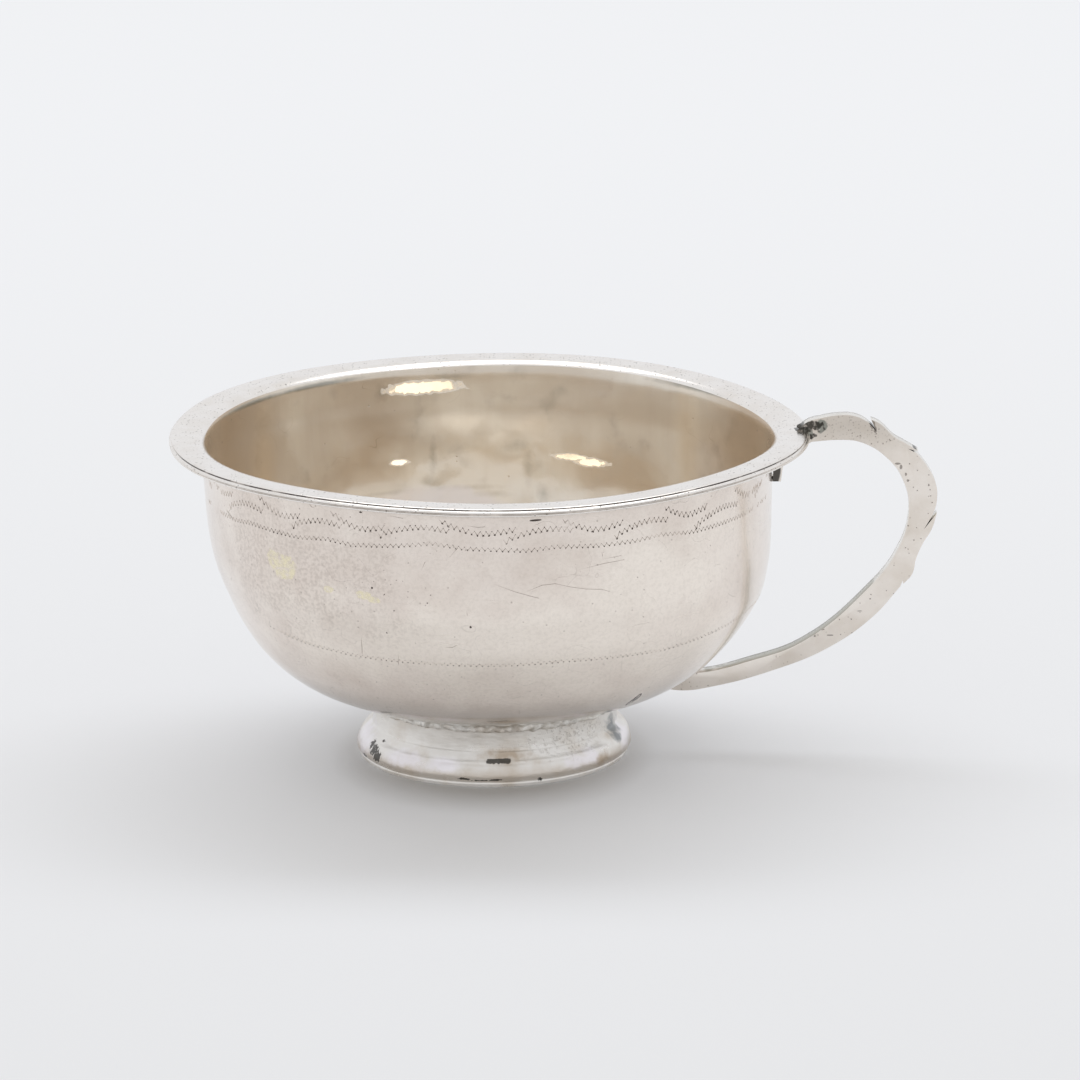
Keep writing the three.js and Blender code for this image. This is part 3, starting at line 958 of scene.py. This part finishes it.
def makeInside():
    m = Metal("planishedSilverInside", insideLook)
    drift = m.add("TexNoise", {"Scale": 1 / 7, "Detail": 2.0}, {"Vector": m.place})
    bent = m.add("VectorMath", {1: (6, 6, 6)}, {0: drift.outputs["Color"], 2: m.place}, operation="MULTIPLY_ADD")
    cell = {"Scale": 1 / insideLook["hammer"], "Randomness": 1.0}
    mark = m.add("TexVoronoi", {**cell, "Smoothness": 0.35}, {"Vector": bent}, feature="SMOOTH_F1")
    shade = m.add("SeparateColor", links={0: mark.outputs["Color"]})
    m.lay(1, "film", shade)
    m.lay(0.8, "metal", m.spots("paler"))
    m.lay(0.22, "ends", m.spots("brownerPatches"))
    m.lay(0.3, "film", m.cloud(2.2, 0.45, 0.75, place=placeOn(m.tree, (1, 1, 0.12))))
    seam = m.add("TexVoronoi", cell, {"Vector": bent}, feature="DISTANCE_TO_EDGE")
    seam = ramps(m.tree, (seam.outputs["Distance"], 0.12, 0))
    m.lay(0.25, "outline", seam, m.cloud(4, 0.52, 0.68))
    m.lay(0.38, "outline", m.spots("lines"))
    # painted shade: darker and browner towards the two sides of the inside
    ends = ramps(m.tree, (m.aside, 30, 38.5))
    m.lay(0.8, "ends", ends)
    pits = m.pits((1.3, 0.1, 0.12))
    m.lay(0.5, "pit", pits)
    m.lay(0.4, "pit", m.hairs(9, 0.0016, 0.45))
    # painted highlights and reflections: warm light patches, stripes and halos, and a lilac lens low on the back wall
    gleam, pane, lens, halo = (m.spots(name) for name in ("gleams", "pane", "lens", "halo"))
    m.lay(0.9, "gleam", gleam)
    m.lay(0.35, "gleam", pane)
    m.lay(0.35, "gleam", m.spots("stripes"))
    m.lay(0.7, "lilac", lens)
    m.lay(0.3, "gleam", halo)
    # painted reflection: dark lines along the lip
    m.lay(0.75, "outline", m.spots("lip"))
    worn = m.add("TexNoise", {"Scale": 1 / 3.5, "Detail": 1.5}, {"Vector": m.place})
    leaned = m.leanBack((gleam, 41), (pane, 8), (lens, 7), (halo, 6))
    normal = m.relief((worn, 0.03, 1), (pits, 0.04, -1), normal=leaned)
    metallic = m.add("Math", {1: -0.12, 2: 0.55}, {0: ends}, operation="MULTIPLY_ADD")
    metallic = m.add("Math", {1: 0.35}, {0: gleam, 2: metallic}, operation="MULTIPLY_ADD")
    return m.end(0.05, worn, normal, links={"Metallic": metallic})


# The flange and its wire, rubbed bright, with fine casting pits that hold black dirt in drifts
flangeLook = {"metal": "#f3efea", "film": "#e7e0d7", "pit": "#6d6862", "rough": 0.2}


def makeFlange():
    m = Metal("pittedRimSilver", flangeLook)
    m.lay(1, "film", m.cloud(4, 0.4, 0.7, 4.0, 0.6))
    pits = m.join("MULTIPLY", m.pits((0.75, 0.4, 0.2), (0.5, 0.4, 0.24)), m.cloud(7, 0.36, 0.52, 2.0))
    m.lay(0.75, "pit", pits)
    streaks = m.add("TexNoise", {"Scale": 1 / 0.6, "Detail": 3.0}, {"Vector": m.place})
    return m.end(0.06, streaks, m.relief((streaks, 0.008, 1), (pits, 0.03, -1)))


# The foot, burnished harder than the bowl: lilac-white where it shines, brown low down, with black tarnish at flaws
footLook = {
    "metal": "#eeebe6",
    "film": "#dbd3c8",
    "neck": "#c3bcb3",
    "bright": "#faf6fb",
    "brown": "#b09c84",
    "grey": "#7f8487",
    "pore": "#857c72",
    "stain": "#34332f",
    "rough": 0.3,
    "dim": (0.5, 2, 0.6, (-4, -17.5, 6.6, 6.5, 4, 2.2)),
    "shine": (
        0.7, 2.2, 0.5, (-12.6, -14.5, 3, 3.2, 3.2, 1.1), (-6.6, -18, 2.9, 3, 2, 0.9), (13, -13.5, 2.8, 3, 3, 1),
        (-18.6, -4.5, 3.4, 2, 4, 2.4), (18.8, -4, 3.2, 1.2, 3, 1.6),
    ),
    "browned": (
        0.5, 0.9, 0.6, (1.9, -18, 4.4, 2.6, 1.6, 0.8), (16, -12.2, 1.9, 1.4, 1.3, 0.8), (0.7, -17.6, 8.5, 4, 1, 0.5),
    ),
    "greyed": (0.5, 1.2, 0.4, (17.2, -5.9, 5, 1.5, 1.7, 1.4), (17.9, -6.9, 3.9, 1.3, 1.3, 0.9)),
    "stains": (
        0.8, 0.35, 0.1, (-17.3, -8.3, 3.2, 0.9, 0.6, 0.7), (-17, -9.3, 2.7, 1, 0.8, 0.8),
        (-16.7, -10.4, 2.1, 0.9, 0.9, 0.8), (-18.5, -7, 1.2, 0.6, 0.9, 0.25), (-15.6, -9.7, 4.2, 0.3, 0.3, 0.2),
        (6.8, -18.7, 1, 0.25, 1, 0.45), (-4, -19.5, 1.35, 0.9, 0.6, 0.14), (-1.7, -19.8, 1.15, 1.3, 0.6, 0.1),
        (0.5, -19.9, 1.25, 0.8, 0.6, 0.14), (0.7, -17.5, 8.6, 1.6, 0.6, 0.12),
    ),
    "flaw": (0.3, 0.35, 0.1, *((x, -18.8, 3.75, 0.6, 1, 0.3) for x in (-0.3, 0.3, 0.9, 1.5, 2.1))),
    "weak": (0.5, 2, 0.5, (11.5, -13, 6.4, 6, 6, 2.6)),
}


def makeFoot():
    m = Metal("burnishedFootSilver", footLook)
    m.lay(1, "film", m.cloud(5, 0.45, 0.7, 4.0))
    low = ramps(m.tree, (m.height, 3.0, 1.8), (m.height, 0.8, 1.0))  # above its wire; painted shade, brown low down where the foot shows the shadowed table
    m.lay(0.42, "brown", low, m.cloud(3, 0.2, 0.45))
    # painted shade: the neck darker, most of all at the front, where it shows the shadowed table
    m.lay(0.5, "neck", ramps(m.tree, (m.height, 5.4, 8.6)))
    m.lay(0.4, "neck", m.spots("dim"))
    m.lay(0.7, "bright", m.spots("shine"))
    m.lay(0.7, "brown", m.spots("browned"))
    m.lay(0.85, "grey", m.spots("greyed"))
    stain = m.join("MAXIMUM", m.spots("stains"), m.spots("flaw"))
    m.lay(0.88, "stain", stain)
    porous = m.join("MULTIPLY", m.cloud(0.45, 0.52, 0.66), m.spots("weak"))
    m.lay(0.32, "pore", porous)
    wavy = m.add("TexNoise", {"Scale": 1.0, "Detail": 2.0}, {"Vector": placeOn(m.tree, (0.25, 0.25, 0.5))})
    fine = m.add("TexNoise", {"Scale": 1 / 0.5, "Detail": 3.0}, {"Vector": m.place})
    drawn = m.add("TexNoise", {"Scale": 1.0, "Detail": 2.0}, {"Vector": placeOn(m.tree, (0.5, 0.5, 2.2))})
    # its shoulder is burnished steeper than it was drawn, so it shows the table and not the dark bowl
    slant = ramps(m.tree, (m.height, 3.2, 3.8), (m.height, 5.0, 4.75), (m.aside, 18.2, 15.0), kind="SMOOTHSTEP")
    layers = (wavy, 0.14, 1), (drawn, 0.03, 1), (fine, 0.01, 1), (porous, 0.04, -1), (stain, 0.05, -1)
    normal = m.relief(*layers, normal=m.leanBack((slant, -30)))
    return m.end(0.08, wavy, normal, {"Metallic": 0.85})


# The flat sides of the handle, filed and scraped: satin and gritty, with open pits and black tarnish at the rim
handleLook = {
    "metal": "#f6efe7",
    "film": "#e4dace",
    "grimeAndShade": "#bdb3a6",
    "pit": "#6b6058",
    "stain": "#37342f",
    "green": "#6f766f",
    "rough": 0.32,
    "gaps": (
        0.25, 0.5, 0.1, (58.7, 0, 42.5, 0.45, 3, 0.14), (59.2, 0, 42, 0.18, 3, 0.4), (59.9, 0, 40.9, 0.14, 3, 0.24),
        (60.2, 0, 40, 0.16, 3, 0.2), (63.2, 0, 39.3, 0.12, 3, 0.18), (63.4, 0, 38.6, 0.08, 3, 0.1),
        (63.5, 0, 37.7, 0.08, 3, 0.12), (61, 0, 39, 0.1, 3, 0.1), (55.1, 0, 48.3, 0.4, 3, 0.7),
        (55.45, 0, 47.6, 0.2, 3, 0.5), (47.6, 0, 17.9, 0.75, 3, 0.14), (48, 0, 18.2, 0.3, 3, 0.2),
        (49, 0, 17, 0.5, 3, 0.1), (46.8, 0, 16.9, 0.14, 3, 0.14), (39.6, 0, 15.1, 0.3, 3, 0.14),
        (54.8, 0, 22.4, 0.14, 3, 0.1), (53.2, 0, 20.6, 0.4, 3, 0.07),
    ),
    "greened": (0.5, 1.2, 0.1, (47.6, 0, 48.2, 0.9, 3, 1), (45.6, 0, 47.2, 0.8, 3, 0.8)),
    "stains": (
        0.55, 0.7, 0.1, (44.6, 0, 48, 1.2, 3, 0.8), (45.6, 0, 47.8, 1.2, 3, 1.2), (46.9, 0, 48.3, 1.2, 3, 0.9),
        (46, 0, 46.8, 0.8, 3, 0.6),
    ),
    "spur": (0.03, 0.6, 0.1, (41.12, 0, 42.6, 0.84, 3, 3.4)),
}


def makeHandleFace():
    m = Metal("scrapedHandleSilver", handleLook)
    m.lay(1, "film", m.cloud(6, 0.4, 0.66, 4.0, 0.7))
    # the face is laid darker towards the top and towards the tail
    top = ramps(m.tree, (m.height, 44, 48.5))
    tail = m.add("MapRange", {"From Min": 17.0, "From Max": 8.0, "To Max": 0.35}, {"Value": m.height})
    m.lay(0.6, "grimeAndShade", m.join("MAXIMUM", top, tail))
    m.lay(0.4, "pit", m.pits((0.32, 0.5, 0.34), (0.5, 0.4, 0.28)), top)
    pits = m.join("MAXIMUM", m.pits((0.9, 0.26, 0.14), (0.55, 0.22, 0.2)), m.spots("gaps"))
    m.lay(0.65, "pit", pits)
    m.lay(0.7, "green", m.spots("greened"))
    stain = m.join("MULTIPLY", m.spots("stains"), m.cloud(0.5, 0.2, 0.5))
    m.lay(0.92, "stain", stain)
    # the spur under the flange is laid almost black
    m.lay(0.92, "stain", m.spots("spur"))
    fine = m.add("TexNoise", {"Scale": 1 / 0.4, "Detail": 3.0}, {"Vector": m.place})
    wavy = m.add("TexNoise", {"Scale": 1 / 5, "Detail": 2.0}, {"Vector": m.place})
    normal = m.relief((wavy, 0.15, 1), (fine, 0.012, 1), (pits, 0.06, -1), (stain, 0.03, 1))
    return m.end(0.07, fine, normal)


# The sawn edge of the handle: bright along its back, grey-green low down on the loop and black in the notches
sawnLook = {
    "metal": "#efece6",
    "stain": "#37342f",
    "film": "#d9d4ca",
    "loopGreyGreen": "#9d9b8c",
    "rough": 0.24,
    "loop": (0.25, 1.5, 0.1, (46, 0, 17.5, 19, 3, 9)),
    "notches": (
        0.15, 0.8, 0.1, (55.2, 0, 47.9, 0.6, 3, 0.8), (60.7, 0, 44.5, 0.7, 3, 0.35), (62.7, 0, 33.6, 0.8, 3, 1.3),
        (44.6, 0, 47.6, 1.3, 3, 1),
    ),
}


def makeSawnEdge():
    m = Metal("sawnSilverEdge", sawnLook)
    m.lay(1, "film", m.cloud(3, 0.4, 0.7, 4.0, 0.6))
    m.lay(0.75, "loopGreyGreen", m.spots("loop"))
    m.lay(0.9, "stain", m.spots("notches"))
    grain = m.add("TexNoise", {"Scale": 1 / 0.7, "Detail": 3.0}, {"Vector": m.place})
    return m.end(0.08, grain, m.relief((grain, 0.03, 1)))


# Silver solder: duller than the sheet, frozen in small lumps with dirt between them
solderLook = {
    "metal": "#fdfbf6",
    "film": "#ebe4d9",
    "stain": "#37342f",
    "brown": "#b09c84",
    "middle": (0.4, 1.2, 0.1, (0.7, -18, 8.6, 3.2, 2, 1.2)),
}


def makeSolderFinish(name, dark, rough, bare):  # bare is how much of it is left clean
    m = Metal(name, {**solderLook, "rough": rough})
    m.lay(1, "film", m.cloud(1.6, 0.4, 0.7, 4.0, 0.8))
    m.lay(dark, "stain", m.cloud(1.1, bare, bare + 0.2))
    m.lay(0.3, "brown", m.spots("middle"))
    lumps = m.add("TexNoise", {"Scale": 1 / 0.6, "Detail": 3.0}, {"Vector": m.place})
    normal = m.relief((lumps, 0.12, 1), normal=m.leanBack((m.cloud(0.9, 0.35, 0.65), 26)))
    return m.end(0.1, lumps, normal)


# Dirt held in the graver's cuts, rubbed away here and there and almost gone at the two sides of the cup
gravedLook = {"stroke": "#a2968c", "dot": "#4e453f", "worn": "#e6dcd2", "rough": 0.32}


def makeGraved(name, kind, faint, fade=(31, 39)):  # fade is from where to where it goes, in mm to either side
    m = Metal(name, {**gravedLook, "metal": gravedLook[kind]})
    rubbed = m.cloud(3.5, 0.62 - faint, 0.82 - faint, 4.0)
    m.lay(1, "worn", m.join("MAXIMUM", ramps(m.tree, (m.aside, *fade)), rubbed))
    grain = m.add("TexNoise", {"Scale": 1 / 0.3, "Detail": 2.0}, {"Vector": m.place})
    return m.end(0.1, grain, m.relief((grain, 0.01, 1)), coat)


outsideFinish, insideFinish, flangeFinish = makeOutside(), makeInside(), makeFlange()
footFinish, handleFinish, edgeFinish = makeFoot(), makeHandleFace(), makeSawnEdge()
cleanSolder = makeSolderFinish("silverSolder", 0.1, 0.45, 0.35)
blackSolder = makeSolderFinish("tarnishedSolder", 0.95, 0.6, 0.15)
strokeFinish, dotFinish = makeGraved("gravedStrokes", "stroke", 0.05), makeGraved("dirtInCuts", "dot", 0.1)
faintFinish = makeGraved("fadedCuts", "stroke", 0.4, (20, 34))
# the cut finish laid dark on the faces in the crease between the flange and its wire
creaseFinish = makeGraved("darkInCrease", "dot", 0.08, (43.4, 45.4))
# painted shade: the cut finish laid on the down-facing faces under the bead
beadShadeFinish = makeGraved("shadeUnderBead", "stroke", 0.1, (36, 44))


def dress(piece, *materials):  # clearing the slots would lose the faces painted by place
    for number, material in enumerate(materials):
        if number < len(piece.data.materials):
            piece.data.materials[number] = material
        else:
            piece.data.materials.append(material)


# every piece on the one body
for piece, finishes, slot, *nodes in (
    (bowl, (outsideFinish, insideFinish, flangeFinish, creaseFinish), "silver", "bowl"),
    (rimWire, (flangeFinish, beadShadeFinish), "silver", "rim_wire"),
    (foot, (footFinish,), "silver", "foot"),
    (footWire, (footFinish,), "silver", "foot_wire"),
    (footSeam, (cleanSolder,), "solder", "foot_solder"),
    (handle, (handleFinish, edgeFinish), "handle_silver", "handle"),
    (rimSolder, (blackSolder,), "solder", "rim_solder"),
    (tailSolder, (cleanSolder,), "solder", "tail_solder"),
    (engraving, (strokeFinish,), "silver"),
    (points, (dotFinish,), "silver"),
    (lowerLine, (faintFinish,), "silver"),
    (scratches, (strokeFinish,), "silver"),
    (nicks, (dotFinish,), "silver"),
):
    dress(piece, *finishes)
    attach(piece, "root")
    if nodes:
        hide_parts(*nodes)
print("finishes laid on")


# studio: white paper, a white room and one soft box behind and above
studio = {
    "paper": "#e6e7e9",
    "paperGlow": "#ebecf0",
    "glowShare": 0.33,
    "paintedShadowReach": (0.03, 0.019),  # painted shadow: m from its middle; the paper glows from here on, and not at all within that
    "paintedShadowMiddle": (cupX, -0.003, 0),
    "paintedShadowShape": (1.25, 1, 1),
    "room": "#eeeff2",
    "roomWarm": "#f2eee7",  # its light on matt surfaces, warm in the shadow; the box is as much cooler
    "roomLight": 0.68,  # what the room gives to matt surfaces; metal and the camera see it at 1
    "boxPlace": (0.05, 0.68, 1.35),
    "boxSize": (2.4, 0.6),
    "boxPower": 17.4,
    "boxColour": (0.9, 0.94, 1),
    "ceilingPlace": (0.05, 0.15, 1),  # the same light as metal sees it, wide and mild
    "ceilingSize": (1.1, 0.8),
    "ceilingPower": 3.2,
}


def seenDirectly(tree):  # 1 for the camera and for what metal or glass shows, 0 for the light on matt surfaces
    ray = addNode(tree, "LightPath").outputs
    return joined(tree, "MAXIMUM", ray["Is Camera Ray"], ray["Is Glossy Ray"], ray["Is Transmission Ray"])


def hangBox(place, size, power):
    turned = (Vector((0, -0.05, 0.03)) - Vector(place)).to_track_quat("-Z", "Y").to_euler()
    box = addShape(bpy.ops.object.light_add, type="AREA", location=place, rotation=turned)
    box.data.shape = "RECTANGLE"
    box.data.size, box.data.size_y = size
    box.data.energy = power
    return box


floor = addShape(bpy.ops.mesh.primitive_plane_add, size=8)
floor.name = "paper_sweep"
paper, tree = startMaterial("whitePaper")
spot = addNode(tree, "TexCoord").outputs["Object"]
# painted shadow: the paper's glow fades out near the foot
off = addNode(tree, "VectorMath", {1: studio["paintedShadowMiddle"]}, {0: spot}, operation="SUBTRACT")
off = addNode(tree, "VectorMath", {1: studio["paintedShadowShape"]}, {0: off}, operation="MULTIPLY")
off = addNode(tree, "VectorMath", links={0: off}, operation="LENGTH").outputs["Value"]
dark = ramps(tree, (off, *studio["paintedShadowReach"]))
dark = joined(tree, "MULTIPLY", dark, addNode(tree, "LightPath").outputs["Is Camera Ray"])
share = addNode(tree, "Math", {1: -studio["glowShare"], 2: studio["glowShare"]}, {0: dark}, operation="MULTIPLY_ADD")
share = joined(tree, "MULTIPLY", share, seenDirectly(tree))
matt = addNode(tree, "BsdfDiffuse", {"Color": linear(studio["paper"])})
glow = addNode(tree, "Emission", {"Color": linear(studio["paperGlow"])})
mixed = addNode(tree, "MixShader", links={0: share, 1: matt, 2: glow})
addNode(tree, "OutputMaterial", links={"Surface": mixed})
dress(floor, paper)

room = bpy.data.worlds.new("whiteRoom")
bpy.context.scene.world = room
room.use_nodes = True
tree = room.node_tree
tree.nodes.clear()
light = studio["roomLight"]
power = addNode(tree, "Math", {1: 1 - light, 2: light}, {0: seenDirectly(tree)}, operation="MULTIPLY_ADD")
colours = {6: linear(studio["roomWarm"]), 7: linear(studio["room"])}
tint = addNode(tree, "Mix", colours, {0: seenDirectly(tree)}, data_type="RGBA")
sky = addNode(tree, "Background", links={"Color": tint.outputs[2], "Strength": power})
addNode(tree, "OutputWorld", links={"Surface": sky})

softBox = hangBox(studio["boxPlace"], studio["boxSize"], studio["boxPower"])
softBox.visible_glossy = False
softBox.data.color = studio["boxColour"]
ceiling = hangBox(studio["ceilingPlace"], studio["ceilingSize"], studio["ceilingPower"])
ceiling.visible_diffuse = False
print("studio lit")
